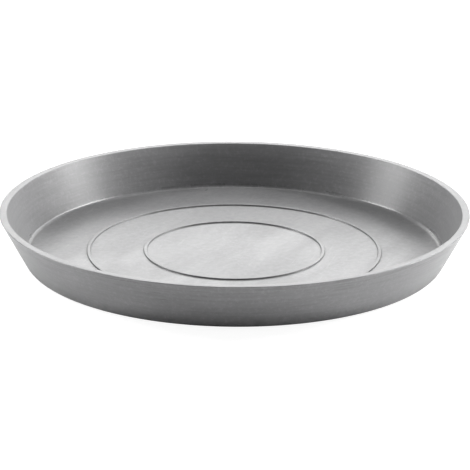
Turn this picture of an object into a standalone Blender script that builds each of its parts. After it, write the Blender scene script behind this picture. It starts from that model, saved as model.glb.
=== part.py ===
"""Round plant saucer: a shallow dish with a flat floor, a leaning side wall and a blunt flat rim.

The real saucer is moulded in one shot, so the dish is one solid, turned about +Z. Two low ribs stand
on the floor and carry the pot clear of the water. Underneath, a shallow recess leaves a ring-shaped foot.
Metres, +Z up. The origin is on the axis, at the surface that the saucer stands on.
"""

import math

import bmesh
import bpy
from mathutils import Vector

# Overall sizes
RIM_DIAMETER = 0.300
HEIGHT = 0.032

# Side wall: its outer face leans out from the vertical, and it thins from the rim to its width at the floor
WALL_LEAN = math.radians(27.9)
WALL_FOOT_WIDTH = 0.0022
FLOOR_FILLET = 0.0030

# Rim
RIM_WIDTH = 0.0047
RIM_OUTER_ROUND = 0.0004
RIM_INNER_ROUND = 0.0009

# Floor and foot
FLOOR_THICKNESS = 0.0032
FOOT_DEPTH = 0.0008
FOOT_WIDTH = 0.0100
FOOT_ROUND = 0.0056
RECESS_ROUND = 0.0005

# Pot ribs: concentric rings on the floor, with drawn-in sides
RIB_DIAMETERS = (0.1141, 0.1868)
RIB_WIDTH = 0.0023
RIB_HEIGHT = 0.0009
RIB_DRAFT = math.radians(22.0)
RIB_ROUND = 0.0002

# Facets
TURN_STEPS = 72
LARGE_ARC_STEPS = 5
SMALL_ARC_STEPS = 2

# Finish: satin grey moulded plastic with a mineral filler
DISH_COLOUR = (0.18, 0.18, 0.183, 1.0)
DISH_ROUGHNESS = 0.34

RIM_RADIUS = RIM_DIAMETER / 2
FLOOR_TOP = FOOT_DEPTH + FLOOR_THICKNESS
HALF_EDGE_ANGLE = math.pi / 4 - WALL_LEAN / 2
RIM_CORNER_RADIUS = RIM_RADIUS + RIM_OUTER_ROUND * (1 / math.tan(HALF_EDGE_ANGLE) - 1)
FOOT_CORNER_RADIUS = RIM_CORNER_RADIUS - HEIGHT * math.tan(WALL_LEAN)
FLOOR_CORNER_RADIUS = FOOT_CORNER_RADIUS + FLOOR_TOP * math.tan(WALL_LEAN) - WALL_FOOT_WIDTH
FOOT_RADIUS = FOOT_CORNER_RADIUS - FOOT_ROUND * math.tan(HALF_EDGE_ANGLE)
RECESS_RADIUS = FOOT_RADIUS - FOOT_WIDTH


def clear_scene():
    for old in list(bpy.data.objects):
        bpy.data.objects.remove(old)


def corner(radius, height, rounding=0.0, steps=SMALL_ARC_STEPS):
    """One corner of the outline, as its place, the radius it is rounded to and the facets of that arc."""
    return Vector((radius, height)), rounding, steps


def rounded_corner(before, place, after, rounding, steps):
    """Points of the arc that rounds a corner, no larger than half of the shorter side beside it."""
    to_before = (before - place).normalized()
    to_after = (after - place).normalized()
    half_angle = to_before.angle(to_after) / 2
    longest = min((before - place).length, (after - place).length) / 2
    tangent = min(rounding / math.tan(half_angle), longest)
    radius = tangent * math.tan(half_angle)
    centre = place + (to_before + to_after).normalized() * radius / math.sin(half_angle)
    start = place + to_before * tangent - centre
    end = place + to_after * tangent - centre
    sweep = start.angle_signed(end)
    points = []
    for step in range(steps + 1):
        turn = -sweep * step / steps
        spoke = Vector((
            start.x * math.cos(turn) - start.y * math.sin(turn),
            start.x * math.sin(turn) + start.y * math.cos(turn),
        ))
        points.append(centre + spoke)
    return points


def outline_points(corners):
    """The outline with its corners rounded. Its two ends lie on the axis."""
    points = [corners[0][0]]
    for previous, (place, rounding, steps), following in zip(corners, corners[1:], corners[2:]):
        if rounding:
            points += rounded_corner(previous[0], place, following[0], rounding, steps)
        else:
            points.append(place)
    points.append(corners[-1][0])
    return points


def rib_corners(diameter):
    """A rib's section, from its outer foot over the top to its inner foot."""
    middle = diameter / 2
    lean = RIB_HEIGHT * math.tan(RIB_DRAFT)
    foot_half = (RIB_WIDTH + lean) / 2
    top_half = (RIB_WIDTH - lean) / 2
    top = FLOOR_TOP + RIB_HEIGHT
    return [
        corner(middle + foot_half, FLOOR_TOP),
        corner(middle + top_half, top, RIB_ROUND),
        corner(middle - top_half, top, RIB_ROUND),
        corner(middle - foot_half, FLOOR_TOP),
    ]


def dish_corners():
    """The dish's section, from the underside's centre round the foot, wall and rim to the floor's centre."""
    underside = [
        corner(0.0, FOOT_DEPTH),
        corner(RECESS_RADIUS - FOOT_DEPTH, FOOT_DEPTH, RECESS_ROUND),
        corner(RECESS_RADIUS, 0.0, RECESS_ROUND),
        corner(FOOT_CORNER_RADIUS, 0.0, FOOT_ROUND, LARGE_ARC_STEPS),
    ]
    rim = [
        corner(RIM_CORNER_RADIUS, HEIGHT, RIM_OUTER_ROUND, LARGE_ARC_STEPS),
        corner(RIM_RADIUS - RIM_WIDTH, HEIGHT, RIM_INNER_ROUND),
    ]
    floor = [corner(FLOOR_CORNER_RADIUS, FLOOR_TOP, FLOOR_FILLET, LARGE_ARC_STEPS)]
    for diameter in sorted(RIB_DIAMETERS, reverse=True):
        floor += rib_corners(diameter)
    floor.append(corner(0.0, FLOOR_TOP))
    return underside + rim + floor


def satin_plastic(name, colour, roughness):
    material = bpy.data.materials.new(name)
    material.use_nodes = True
    shader = material.node_tree.nodes["Principled BSDF"]
    shader.inputs["Base Color"].default_value = colour
    shader.inputs["Roughness"].default_value = roughness
    shader.inputs["Metallic"].default_value = 0.0
    return material


def turned(name, points, material):
    """An object made by turning an outline in the XZ plane about the Z axis."""
    mesh = bpy.data.meshes.new(name)
    shape = bmesh.new()
    verts = [shape.verts.new((point.x, 0.0, point.y)) for point in points]
    edges = [shape.edges.new(pair) for pair in zip(verts, verts[1:])]
    bmesh.ops.spin(
        shape,
        geom=verts + edges,
        cent=(0.0, 0.0, 0.0),
        axis=(0.0, 0.0, 1.0),
        angle=2 * math.pi,
        steps=TURN_STEPS,
        use_merge=True,
    )
    bmesh.ops.remove_doubles(shape, verts=shape.verts, dist=1e-6)
    bmesh.ops.recalc_face_normals(shape, faces=shape.faces)
    shape.to_mesh(mesh)
    shape.free()
    mesh.materials.append(material)
    mesh.shade_smooth()
    mesh.set_sharp_from_angle(angle=math.radians(35.0))
    piece = bpy.data.objects.new(name, mesh)
    bpy.context.scene.collection.objects.link(piece)
    return piece


clear_scene()
dish_finish = satin_plastic("satin_grey_plastic", DISH_COLOUR, DISH_ROUGHNESS)
turned("saucer_dish", outline_points(dish_corners()), dish_finish)
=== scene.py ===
"""Looks of a round plant saucer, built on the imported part. Metres, +Z up, the axis of the dish along Z."""

import math

import bpy
from mathutils import Euler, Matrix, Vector


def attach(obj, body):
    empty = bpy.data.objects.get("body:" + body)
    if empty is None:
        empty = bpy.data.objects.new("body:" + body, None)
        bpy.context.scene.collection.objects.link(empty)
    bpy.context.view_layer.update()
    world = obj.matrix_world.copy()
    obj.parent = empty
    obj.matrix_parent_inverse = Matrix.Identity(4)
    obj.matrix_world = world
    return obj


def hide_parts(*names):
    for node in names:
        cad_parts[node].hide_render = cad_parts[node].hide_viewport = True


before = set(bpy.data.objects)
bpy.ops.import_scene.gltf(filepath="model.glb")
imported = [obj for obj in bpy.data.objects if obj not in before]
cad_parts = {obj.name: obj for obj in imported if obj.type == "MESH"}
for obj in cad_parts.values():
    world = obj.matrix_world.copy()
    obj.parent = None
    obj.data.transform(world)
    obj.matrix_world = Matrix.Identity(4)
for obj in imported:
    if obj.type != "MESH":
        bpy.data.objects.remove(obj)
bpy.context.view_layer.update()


# Saucer dish
# The whole saucer is one moulding of grey plastic with a mineral filler: flat floor, leaning wall, blunt rim,
# two low ribs that lift the pot clear of the water, and a foot ring underneath. It is round, so it is turned.
dish_sizes = {
    "Rim Diameter": 0.300,
    "Height": 0.032,
    "Wall Lean": math.radians(27.9),
    "Wall Foot Width": 0.0022,
    "Floor Fillet": 0.0030,
    "Rim Width": 0.0047,
    "Rim Outer Round": 0.0004,
    "Rim Inner Round": 0.0009,
    "Floor Thickness": 0.0032,
    "Foot Depth": 0.0008,
    "Foot Width": 0.0100,
    "Foot Round": 0.0056,
    "Recess Round": 0.0005,
    "Inner Rib Diameter": 0.1141,
    "Outer Rib Diameter": 0.1868,
    "Rib Width": 0.0023,
    "Rib Height": 0.0009,
    "Rib Draft": math.radians(22.0),
    "Rib Round": 0.0002,
}
dish_steps = {"Turn Steps": 288, "Arc Steps": 8}

turning = bpy.data.node_groups.new("turned_saucer", "GeometryNodeTree")
turning.is_modifier = True
turning_ids = {}
for size_name in dish_sizes:
    turning_ids[size_name] = turning.interface.new_socket(
        size_name, in_out="INPUT", socket_type="NodeSocketFloat"
    ).identifier
for step_name in dish_steps:
    turning_ids[step_name] = turning.interface.new_socket(
        step_name, in_out="INPUT", socket_type="NodeSocketInt"
    ).identifier
turning_ids["Finish"] = turning.interface.new_socket(
    "Finish", in_out="INPUT", socket_type="NodeSocketMaterial"
).identifier
turning.interface.new_socket("Geometry", in_out="OUTPUT", socket_type="NodeSocketGeometry")
given = turning.nodes.new("NodeGroupInput").outputs


def place_node(tree, kind, inputs=(), **settings):
    """A node with its settings made. Its inputs, by name or number, get values or other nodes' outputs."""
    node = tree.nodes.new(kind)
    for name, value in settings.items():
        setattr(node, name, value)
    for key, value in dict(inputs).items():
        if isinstance(value, bpy.types.NodeSocket):
            tree.links.new(value, node.inputs[key])
        else:
            node.inputs[key].default_value = value
    return node


def turn_sum(operation, *values):
    """The result of one sum in the tree that turns the dish."""
    node = place_node(turning, "ShaderNodeMath", enumerate(values), operation=operation)
    return node.outputs[0]


# Radii and heights that follow from the sizes
rim_radius = turn_sum("MULTIPLY", given["Rim Diameter"], 0.5)
lean_slope = turn_sum("TANGENT", given["Wall Lean"])
edge_slope = turn_sum("TANGENT", turn_sum("MULTIPLY_ADD", given["Wall Lean"], -0.5, math.pi / 4))
rim_overhang = turn_sum("SUBTRACT", turn_sum("DIVIDE", 1.0, edge_slope), 1.0)
rim_corner = turn_sum("MULTIPLY_ADD", given["Rim Outer Round"], rim_overhang, rim_radius)
rim_inner = turn_sum("SUBTRACT", rim_radius, given["Rim Width"])
foot_corner = turn_sum("SUBTRACT", rim_corner, turn_sum("MULTIPLY", given["Height"], lean_slope))
floor_top = turn_sum("ADD", given["Foot Depth"], given["Floor Thickness"])
wall_inside = turn_sum("SUBTRACT", foot_corner, given["Wall Foot Width"])
floor_corner = turn_sum("MULTIPLY_ADD", floor_top, lean_slope, wall_inside)
foot_radius = turn_sum("SUBTRACT", foot_corner, turn_sum("MULTIPLY", given["Foot Round"], edge_slope))
recess_radius = turn_sum("SUBTRACT", foot_radius, given["Foot Width"])
recess_top = turn_sum("SUBTRACT", recess_radius, given["Foot Depth"])
rib_top = turn_sum("ADD", floor_top, given["Rib Height"])
rib_lean = turn_sum("MULTIPLY", given["Rib Height"], turn_sum("TANGENT", given["Rib Draft"]))
rib_foot_half = turn_sum("MULTIPLY", turn_sum("ADD", given["Rib Width"], rib_lean), 0.5)
rib_top_half = turn_sum("MULTIPLY", turn_sum("SUBTRACT", given["Rib Width"], rib_lean), 0.5)

# Corners of the section as radius, height and rounding, from the underside's centre to the floor's centre
dish_corners = [
    (0.0, given["Foot Depth"], 0.0),
    (recess_top, given["Foot Depth"], given["Recess Round"]),
    (recess_radius, 0.0, given["Recess Round"]),
    (foot_corner, 0.0, given["Foot Round"]),
    (rim_corner, given["Height"], given["Rim Outer Round"]),
    (rim_inner, given["Height"], given["Rim Inner Round"]),
    (floor_corner, floor_top, given["Floor Fillet"]),
]
for rib_diameter in (given["Outer Rib Diameter"], given["Inner Rib Diameter"]):
    rib_middle = turn_sum("MULTIPLY", rib_diameter, 0.5)
    dish_corners += [
        (turn_sum("ADD", rib_middle, rib_foot_half), floor_top, given["Rib Round"]),
        (turn_sum("ADD", rib_middle, rib_top_half), rib_top, given["Rib Round"]),
        (turn_sum("SUBTRACT", rib_middle, rib_top_half), rib_top, given["Rib Round"]),
        (turn_sum("SUBTRACT", rib_middle, rib_foot_half), floor_top, given["Rib Round"]),
    ]
dish_corners.append((0.0, floor_top, 0.0))

# The section as a line through its corners, each rounded to its own radius
corner_number = place_node(turning, "GeometryNodeInputIndex").outputs[0]
corner_place = place_node(turning, "GeometryNodeIndexSwitch", data_type="VECTOR")
corner_round = place_node(turning, "GeometryNodeIndexSwitch", data_type="FLOAT")
for switch in (corner_place, corner_round):
    for _ in dish_corners[2:]:
        switch.index_switch_items.new()
    turning.links.new(corner_number, switch.inputs["Index"])
for number, (corner_radius, corner_height, rounding) in enumerate(dish_corners):
    place = place_node(turning, "ShaderNodeCombineXYZ", {"X": corner_radius, "Z": corner_height})
    turning.links.new(place.outputs[0], corner_place.inputs[str(number)])
    if isinstance(rounding, bpy.types.NodeSocket):
        turning.links.new(rounding, corner_round.inputs[str(number)])
section = place_node(turning, "GeometryNodeMeshLine", {"Count": len(dish_corners)})
section = place_node(
    turning,
    "GeometryNodeSetPosition",
    {"Geometry": section.outputs[0], "Position": corner_place.outputs[0]},
)
section = place_node(
    turning,
    "GeometryNodeStoreNamedAttribute",
    {"Geometry": section.outputs[0], "Name": "rounding", "Value": corner_round.outputs[0]},
    data_type="FLOAT",
    domain="POINT",
)
section = place_node(turning, "GeometryNodeMeshToCurve", {"Mesh": section.outputs[0]})
rounding_here = place_node(
    turning, "GeometryNodeInputNamedAttribute", {"Name": "rounding"}, data_type="FLOAT"
)
section = place_node(
    turning,
    "GeometryNodeFilletCurve",
    {
        "Curve": section.outputs[0],
        "Count": given["Arc Steps"],
        "Radius": rounding_here.outputs[0],
        "Limit Radius": True,
    },
    mode="POLY",
)

# A grid wrapped round the axis: a row for each point of the section, a column for each step of the turn.
# Seen from above the turn runs clockwise, so that the faces point outwards.
section_count = place_node(
    turning, "GeometryNodeAttributeDomainSize", {"Geometry": section.outputs[0]}, component="CURVE"
)
columns = turn_sum("ADD", given["Turn Steps"], 1.0)
merge_distance = 1e-6
skin = place_node(
    turning,
    "GeometryNodeMeshGrid",
    {"Vertices X": section_count.outputs["Point Count"], "Vertices Y": columns},
)
grid_number = place_node(turning, "GeometryNodeInputIndex").outputs[0]
row = turn_sum("FLOOR", turn_sum("DIVIDE", turn_sum("ADD", grid_number, 0.5), columns))
column = turn_sum("SUBTRACT", grid_number, turn_sum("MULTIPLY", row, columns))
turn = turn_sum("MULTIPLY", turn_sum("DIVIDE", column, given["Turn Steps"]), -2 * math.pi)
section_place = place_node(
    turning,
    "GeometryNodeSampleIndex",
    {
        "Geometry": section.outputs[0],
        "Value": place_node(turning, "GeometryNodeInputPosition").outputs[0],
        "Index": row,
    },
    data_type="FLOAT_VECTOR",
    domain="POINT",
)
section_xyz = place_node(turning, "ShaderNodeSeparateXYZ", {0: section_place.outputs[0]}).outputs
skin_place = place_node(
    turning,
    "ShaderNodeCombineXYZ",
    {
        "X": turn_sum("MULTIPLY", section_xyz["X"], turn_sum("COSINE", turn)),
        "Y": turn_sum("MULTIPLY", section_xyz["X"], turn_sum("SINE", turn)),
        "Z": section_xyz["Z"],
    },
)
skin = place_node(
    turning,
    "GeometryNodeSetPosition",
    {"Geometry": skin.outputs["Mesh"], "Position": skin_place.outputs[0]},
)
skin = place_node(
    turning, "GeometryNodeMergeByDistance", {"Geometry": skin.outputs[0], "Distance": merge_distance}
)
skin = place_node(turning, "GeometryNodeSetShadeSmooth", {"Geometry": skin.outputs[0], "Shade Smooth": True})
skin = place_node(turning, "GeometryNodeRealizeInstances", {"Geometry": skin.outputs[0]})
skin = place_node(
    turning, "GeometryNodeSetMaterial", {"Geometry": skin.outputs[0], "Material": given["Finish"]}
)
place_node(turning, "NodeGroupOutput", {"Geometry": skin.outputs[0]})

dish_finish = bpy.data.materials.new("filled_grey_plastic")
dish_finish.use_nodes = True
shading = dish_finish.node_tree
plastic = shading.nodes["Principled BSDF"]


def shade_sum(operation, *values):
    """The result of one sum in the finish."""
    node = place_node(shading, "ShaderNodeMath", enumerate(values), operation=operation)
    return node.outputs[0]


def shade_range(value, low, high, to_low, to_high):
    """A value taken smoothly from one range to another, and held at the ends."""
    node = place_node(
        shading,
        "ShaderNodeMapRange",
        {"Value": value, "From Min": low, "From Max": high, "To Min": to_low, "To Max": to_high},
        interpolation_type="SMOOTHSTEP",
    )
    return node.outputs["Result"]


def shade_noise(place, scale, detail, roughness=0.5, distortion=0.0):
    """Noise of a given number of features per unit of the place, from 0 to 1."""
    node = place_node(
        shading,
        "ShaderNodeTexNoise",
        {"Vector": place, "Scale": scale, "Detail": detail, "Roughness": roughness, "Distortion": distortion},
    )
    return node.outputs["Fac"]


# Where a spot lies: its distance from the axis, the way along the section, counted more closely up the wall,
# and whether it is on the wall and on the outside. The finish changes over from floor to wall in the corner.
least_radius = 0.001
wall_closeness = 2.3
wall_start, wall_full = 0.0045, 0.0090
inside_edge, outside_edge = 0.1312, 0.1324
spot = place_node(shading, "ShaderNodeTexCoord").outputs["Object"]
spot_x, spot_y, spot_z = place_node(shading, "ShaderNodeSeparateXYZ", {0: spot}).outputs
spot_square = shade_sum("MULTIPLY_ADD", spot_x, spot_x, shade_sum("MULTIPLY", spot_y, spot_y))
spot_radius = shade_sum("MAXIMUM", shade_sum("SQRT", spot_square), least_radius)
spot_along = shade_sum("MULTIPLY_ADD", spot_z, wall_closeness, spot_radius)
on_wall = shade_range(spot_z, wall_start, wall_full, 0.0, 1.0)
on_floor = shade_sum("SUBTRACT", 1.0, on_wall)
outside_gap = shade_sum("MULTIPLY_ADD", spot_z, -math.tan(dish_sizes["Wall Lean"]), spot_radius)
on_outside = shade_range(outside_gap, inside_edge, outside_edge, 0.0, 1.0)


def round_noise(turns, across, detail, roughness=0.5):
    """Noise drawn out along the turn: features per turn set its length, features per metre its width."""
    reach = turns / (2 * math.pi)
    place = place_node(
        shading,
        "ShaderNodeCombineXYZ",
        {
            "X": shade_sum("MULTIPLY", shade_sum("DIVIDE", spot_x, spot_radius), reach),
            "Y": shade_sum("MULTIPLY", shade_sum("DIVIDE", spot_y, spot_radius), reach),
            "Z": shade_sum("MULTIPLY", spot_along, across),
        },
    )
    return shade_noise(place.outputs[0], 1.0, detail, roughness)


# Fine drag lines round the wall, softer and longer bands of them, and painted shade in streaks below the rim
rim_shade_start, rim_shade_full = 0.0215, 0.0275
drag_lines = round_noise(turns=64.0, across=800.0, detail=3.0, roughness=0.6)
drag_bands = round_noise(turns=22.0, across=240.0, detail=2.0)
rim_shade_streaks = round_noise(turns=34.0, across=400.0, detail=3.0, roughness=0.6)
rim_shade_streaks = shade_range(rim_shade_streaks, 0.48, 0.66, 0.0, 1.0)
below_rim = shade_sum("MULTIPLY", shade_range(spot_z, rim_shade_start, rim_shade_full, 0.0, 1.0), on_outside)
painted_rim_shade = shade_sum("MULTIPLY", rim_shade_streaks, below_rim)

# Cloudy flow marks, wiped smears and scratches slantwise across the floor, a fine mottle and grains of filler
smear_heading = math.radians(62.0)
smear_size = (0.100, 0.024, 0.100)
scratch_heading = math.radians(74.0)
scratch_size = (0.036, 0.0015, 0.036)
clouds = shade_noise(spot, scale=17.0, detail=4.0, roughness=0.55)
smear_place = place_node(
    shading,
    "ShaderNodeMapping",
    {"Vector": spot, "Rotation": (0.0, 0.0, smear_heading), "Scale": smear_size},
    vector_type="TEXTURE",
)
smears = shade_noise(smear_place.outputs[0], scale=1.0, detail=4.0, roughness=0.6, distortion=0.7)
scratch_place = place_node(
    shading,
    "ShaderNodeMapping",
    {"Vector": spot, "Rotation": (0.0, 0.0, scratch_heading), "Scale": scratch_size},
    vector_type="TEXTURE",
)
scratches = shade_noise(scratch_place.outputs[0], scale=1.0, detail=1.0, distortion=0.5)
scratches = shade_range(scratches, 0.64, 0.72, 0.0, 1.0)
scratched = shade_range(shade_noise(spot, scale=26.0, detail=2.0), 0.50, 0.62, 0.0, 1.0)
scratches = shade_sum("MULTIPLY", scratches, scratched)
mottle = shade_noise(spot, scale=250.0, detail=3.0, roughness=0.65)
grains = shade_range(shade_noise(spot, scale=480.0, detail=2.0, roughness=0.6), 0.50, 0.70, 0.0, 1.0)

# The tone of a spot: each mark makes it lighter or darker by its own share
plastic_grey = (0.180, 0.180, 0.183)
scratch_share = 0.14
line_share_on_floor = 0.15
rim_shade_share = -0.22
grain_share, between_grains = 0.14, 0.96
# Painted shade near the foot: where it is darkest, where it fades out, and how dark it is at the bottom
foot_shade_start, foot_shade_end, foot_shade_share = 0.0005, 0.0110, 0.34
tone = shade_range(clouds, 0.28, 0.72, 0.94, 1.06)
floor_share = shade_sum(
    "ADD", shade_range(smears, 0.30, 0.72, -0.04, 0.05), shade_range(mottle, 0.30, 0.70, -0.08, 0.08)
)
floor_share = shade_sum("MULTIPLY_ADD", scratches, scratch_share, floor_share)
floor_share = shade_sum("MULTIPLY", floor_share, on_floor)
tone = shade_sum("MULTIPLY", tone, shade_sum("ADD", floor_share, 1.0))
line_share = shade_sum(
    "ADD", shade_range(drag_lines, 0.25, 0.75, -0.05, 0.05), shade_range(drag_bands, 0.25, 0.75, -0.06, 0.06)
)
line_share = shade_sum("ADD", line_share, shade_range(mottle, 0.30, 0.70, -0.03, 0.03))
line_share = shade_sum("MULTIPLY", line_share, shade_range(on_wall, 0.0, 1.0, line_share_on_floor, 1.0))
tone = shade_sum("MULTIPLY", tone, shade_sum("ADD", line_share, 1.0))
# Painted shade: the outside just below the rim is darkened in streaks, as the rim's shadow would darken it
tone = shade_sum("MULTIPLY", tone, shade_sum("MULTIPLY_ADD", painted_rim_shade, rim_shade_share, 1.0))
tone = shade_sum("MULTIPLY", tone, shade_sum("MULTIPLY_ADD", grains, grain_share, between_grains))
# Painted shade: the outside of the wall is darkened towards the foot, as a contact shadow would darken it
foot_painted_shade = shade_sum("MULTIPLY", shade_range(spot_z, foot_shade_start, foot_shade_end, foot_shade_share, 0.0), on_outside)
tone = shade_sum("MULTIPLY", tone, shade_sum("SUBTRACT", 1.0, foot_painted_shade))
grey = place_node(shading, "ShaderNodeVectorMath", {0: plastic_grey, "Scale": tone}, operation="SCALE")
shading.links.new(grey.outputs[0], plastic.inputs["Base Color"])

# Satin skin: glossier where it was wiped and in the corner of wall and floor, duller along the drag lines.
# The drag lines stand out from the wall by about a hundredth of a millimetre.
corner_start, corner_full = 0.0042, 0.0048
corner_fades, corner_end = 0.0062, 0.0072
corner_inner, corner_outer = 0.1290, 0.1305
corner_gloss = -0.06
grain_dulling = 0.03
line_relief = 0.000015
gloss = shade_sum("MULTIPLY", shade_range(drag_lines, 0.25, 0.75, -0.04, 0.04), on_wall)
gloss = shade_sum("ADD", gloss, shade_range(clouds, 0.28, 0.72, 0.305, 0.355))
smear_gloss = shade_sum("MULTIPLY", shade_range(smears, 0.30, 0.72, 0.05, -0.04), on_floor)
gloss = shade_sum("ADD", gloss, smear_gloss)
gloss = shade_sum("MULTIPLY_ADD", grains, grain_dulling, gloss)
in_corner = shade_sum(
    "MULTIPLY",
    shade_range(spot_z, corner_start, corner_full, 0.0, 1.0),
    shade_range(spot_z, corner_fades, corner_end, 1.0, 0.0),
)
near_wall = shade_range(spot_radius, corner_inner, corner_outer, 0.0, 1.0)
in_corner = shade_sum("MULTIPLY", in_corner, near_wall)
in_corner = shade_sum("MULTIPLY", in_corner, shade_sum("SUBTRACT", 1.0, on_outside))
gloss = shade_sum("MULTIPLY_ADD", in_corner, corner_gloss, gloss)
shading.links.new(gloss, plastic.inputs["Roughness"])
relief = shade_sum("MULTIPLY", drag_lines, on_wall)
relief_bump = place_node(
    shading, "ShaderNodeBump", {"Strength": 1.0, "Distance": line_relief, "Height": relief}
)
shading.links.new(relief_bump.outputs["Normal"], plastic.inputs["Normal"])

dish_maker = bpy.data.objects.new("dish_maker", bpy.data.meshes.new("dish_maker"))
bpy.context.scene.collection.objects.link(dish_maker)
turner = dish_maker.modifiers.new("turned_saucer", "NODES")
turner.node_group = turning
for input_name, value in {**dish_sizes, **dish_steps, "Finish": dish_finish}.items():
    turner[turning_ids[input_name]] = value
dish_mesh = bpy.data.meshes.new_from_object(
    dish_maker.evaluated_get(bpy.context.evaluated_depsgraph_get())
)
dish_mesh.name = "dish_skin"
sharpest_smooth = math.radians(40.0)
dish_mesh.set_sharp_from_angle(angle=sharpest_smooth)
bpy.data.objects.remove(dish_maker)
dish = bpy.data.objects.new("dish_skin", dish_mesh)
bpy.context.scene.collection.objects.link(dish)
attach(dish, "root")
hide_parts("saucer_dish")


# Floor
# A plain white sweep that the saucer stands on, wide enough to fill every view. The camera sees it nearly
# white, with the saucer's shadow left on it, and white far off. To the saucer it is a white surface under the
# lamps, with a low glow of its own outside the foot.
floor_half = 12.0
floor_white = (0.8, 0.8, 0.8, 1.0)
glow_start, glow_full, glow_strength = 0.132, 0.18, 0.35
shadow_grey = (0.25, 0.25, 0.25, 1.0)
near_reach, far_reach = 0.6, 3.0
near_white, far_white = 0.9, 1.0
floor_mesh = bpy.data.meshes.new("studio_floor")
floor_mesh.from_pydata(
    [
        (-floor_half, -floor_half, 0.0),
        (floor_half, -floor_half, 0.0),
        (floor_half, floor_half, 0.0),
        (-floor_half, floor_half, 0.0),
    ],
    [],
    [(0, 1, 2, 3)],
)
floor = bpy.data.objects.new("studio_floor", floor_mesh)
bpy.context.scene.collection.objects.link(floor)
floor_finish = bpy.data.materials.new("white_sweep")
floor_finish.use_nodes = True
sweep = floor_finish.node_tree
sweep.nodes.clear()
bare_white = place_node(sweep, "ShaderNodeBsdfDiffuse", {"Color": floor_white})
sweep_spot = place_node(sweep, "ShaderNodeTexCoord").outputs["Object"]
sweep_radius = place_node(sweep, "ShaderNodeVectorMath", {0: sweep_spot}, operation="LENGTH").outputs["Value"]
glow_reach = place_node(
    sweep,
    "ShaderNodeMapRange",
    {"Value": sweep_radius, "From Min": glow_start, "From Max": glow_full, "To Max": glow_strength},
    interpolation_type="SMOOTHSTEP",
)
bare_glow = place_node(sweep, "ShaderNodeEmission", {"Strength": glow_reach.outputs["Result"]})
lit_white = place_node(sweep, "ShaderNodeAddShader", {0: bare_white.outputs[0], 1: bare_glow.outputs[0]})
seen_lit = place_node(sweep, "ShaderNodeBsdfDiffuse", {"Color": shadow_grey})
seen_reach = place_node(
    sweep,
    "ShaderNodeMapRange",
    {
        "Value": sweep_radius,
        "From Min": near_reach,
        "From Max": far_reach,
        "To Min": near_white,
        "To Max": far_white,
    },
)
seen_glow = place_node(sweep, "ShaderNodeEmission", {"Strength": seen_reach.outputs["Result"]})
seen_white = place_node(sweep, "ShaderNodeAddShader", {0: seen_lit.outputs[0], 1: seen_glow.outputs[0]})
sweep_ray = place_node(sweep, "ShaderNodeLightPath").outputs["Is Camera Ray"]
sweep_mix = place_node(
    sweep, "ShaderNodeMixShader", {0: sweep_ray, 1: lit_white.outputs[0], 2: seen_white.outputs[0]}
)
place_node(sweep, "ShaderNodeOutputMaterial", {"Surface": sweep_mix.outputs[0]})
floor_mesh.materials.append(floor_finish)


# Light
# Soft boxes, all aimed at the saucer: a row behind it that skims its floor and rim, boxes from high to low at
# its left and right, and a low strip in front. The room is dark except for what the camera sees of it.
lamp_distance = 1.6
saucer_middle = Vector((0.0, 0.0, 0.01))


def soft_box(name, turn, lift, width, height, power):
    """A box seen from the saucer at a turn from straight behind, to the right, and a lift above the floor."""
    lamp = bpy.data.lights.new(name, "AREA")
    lamp.shape = "RECTANGLE"
    lamp.size = width
    lamp.size_y = height
    lamp.energy = power
    turn = math.radians(turn)
    lift = math.radians(lift)
    box = bpy.data.objects.new(name, lamp)
    box.location = lamp_distance * Vector(
        (math.sin(turn) * math.cos(lift), math.cos(turn) * math.cos(lift), math.sin(lift))
    )
    box.rotation_euler = (saucer_middle - box.location).to_track_quat("-Z", "Y").to_euler()
    box.visible_camera = False
    bpy.context.scene.collection.objects.link(box)


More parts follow.
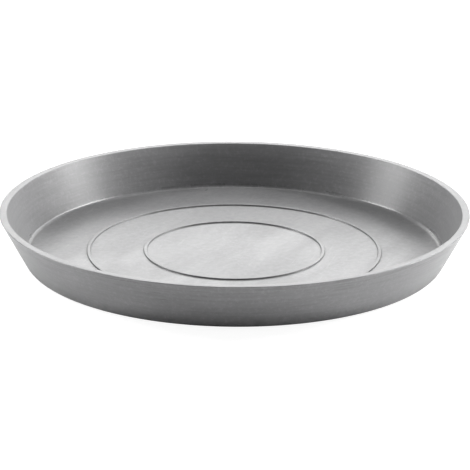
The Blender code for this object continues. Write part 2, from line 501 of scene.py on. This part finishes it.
soft_box("back_box", turn=0, lift=20, width=1.6, height=0.50, power=7.5)
soft_box("back_middle_box", turn=0, lift=32, width=1.0, height=0.45, power=5.3)
soft_box("back_high_box", turn=0, lift=68, width=1.2, height=0.90, power=5.8)
soft_box("left_back_box", turn=-34, lift=20, width=0.2, height=0.20, power=1.7)
soft_box("right_back_box", turn=34, lift=20, width=0.25, height=0.25, power=2.6)
soft_box("right_middle_box", turn=60, lift=28, width=0.4, height=0.30, power=8.0)
soft_box("left_high_box", turn=-75.5, lift=36.3, width=0.4, height=0.30, power=14.5)
soft_box("right_high_box", turn=75.5, lift=36.3, width=0.4, height=0.30, power=19.4)
soft_box("left_box", turn=-85, lift=18, width=0.6, height=0.45, power=7.8)
soft_box("right_box", turn=85, lift=18, width=0.6, height=0.45, power=8.0)
soft_box("left_low_box", turn=-95, lift=3, width=0.9, height=0.16, power=14.5)
soft_box("right_low_box", turn=95, lift=3, width=0.9, height=0.16, power=20.5)
soft_box("front_low_box", turn=180, lift=1.5, width=1.4, height=0.07, power=2.5)

room_glow, room_white = 0.02, 1.0
studio = bpy.data.worlds.new("studio")
bpy.context.scene.world = studio
studio.use_nodes = True
room = studio.node_tree
room_light = room.nodes["Background"]
room_ray = place_node(room, "ShaderNodeLightPath").outputs["Is Camera Ray"]
room_strength = place_node(
    room, "ShaderNodeMapRange", {"Value": room_ray, "To Min": room_glow, "To Max": room_white}
)
room_light.inputs["Color"].default_value = (1.0, 1.0, 1.0, 1.0)
room.links.new(room_strength.outputs[0], room_light.inputs["Strength"])


# Camera
# From the front, looking down over the near rim, with the long lens that the near-parallel ellipses of rim
# and foot call for. It is rolled by less than half a degree.
view_height = math.radians(18.535)
camera_aim = Vector((0.00035, 0.0, 0.01413))
camera_distance = 1.8
camera_roll = 0.0071
camera_data = bpy.data.cameras.new("camera")
camera_data.sensor_width = 36.0
camera_data.lens = 214.91
camera = bpy.data.objects.new("camera", camera_data)
camera.location = camera_aim + camera_distance * Vector((0.0, -math.cos(view_height), math.sin(view_height)))
camera.rotation_euler = (
    Euler((math.pi / 2 - view_height, 0.0, 0.0)).to_matrix() @ Euler((0.0, 0.0, camera_roll)).to_matrix()
).to_euler()
bpy.context.scene.collection.objects.link(camera)
bpy.context.scene.camera = camera
bpy.context.scene.view_settings.view_transform = "Standard"
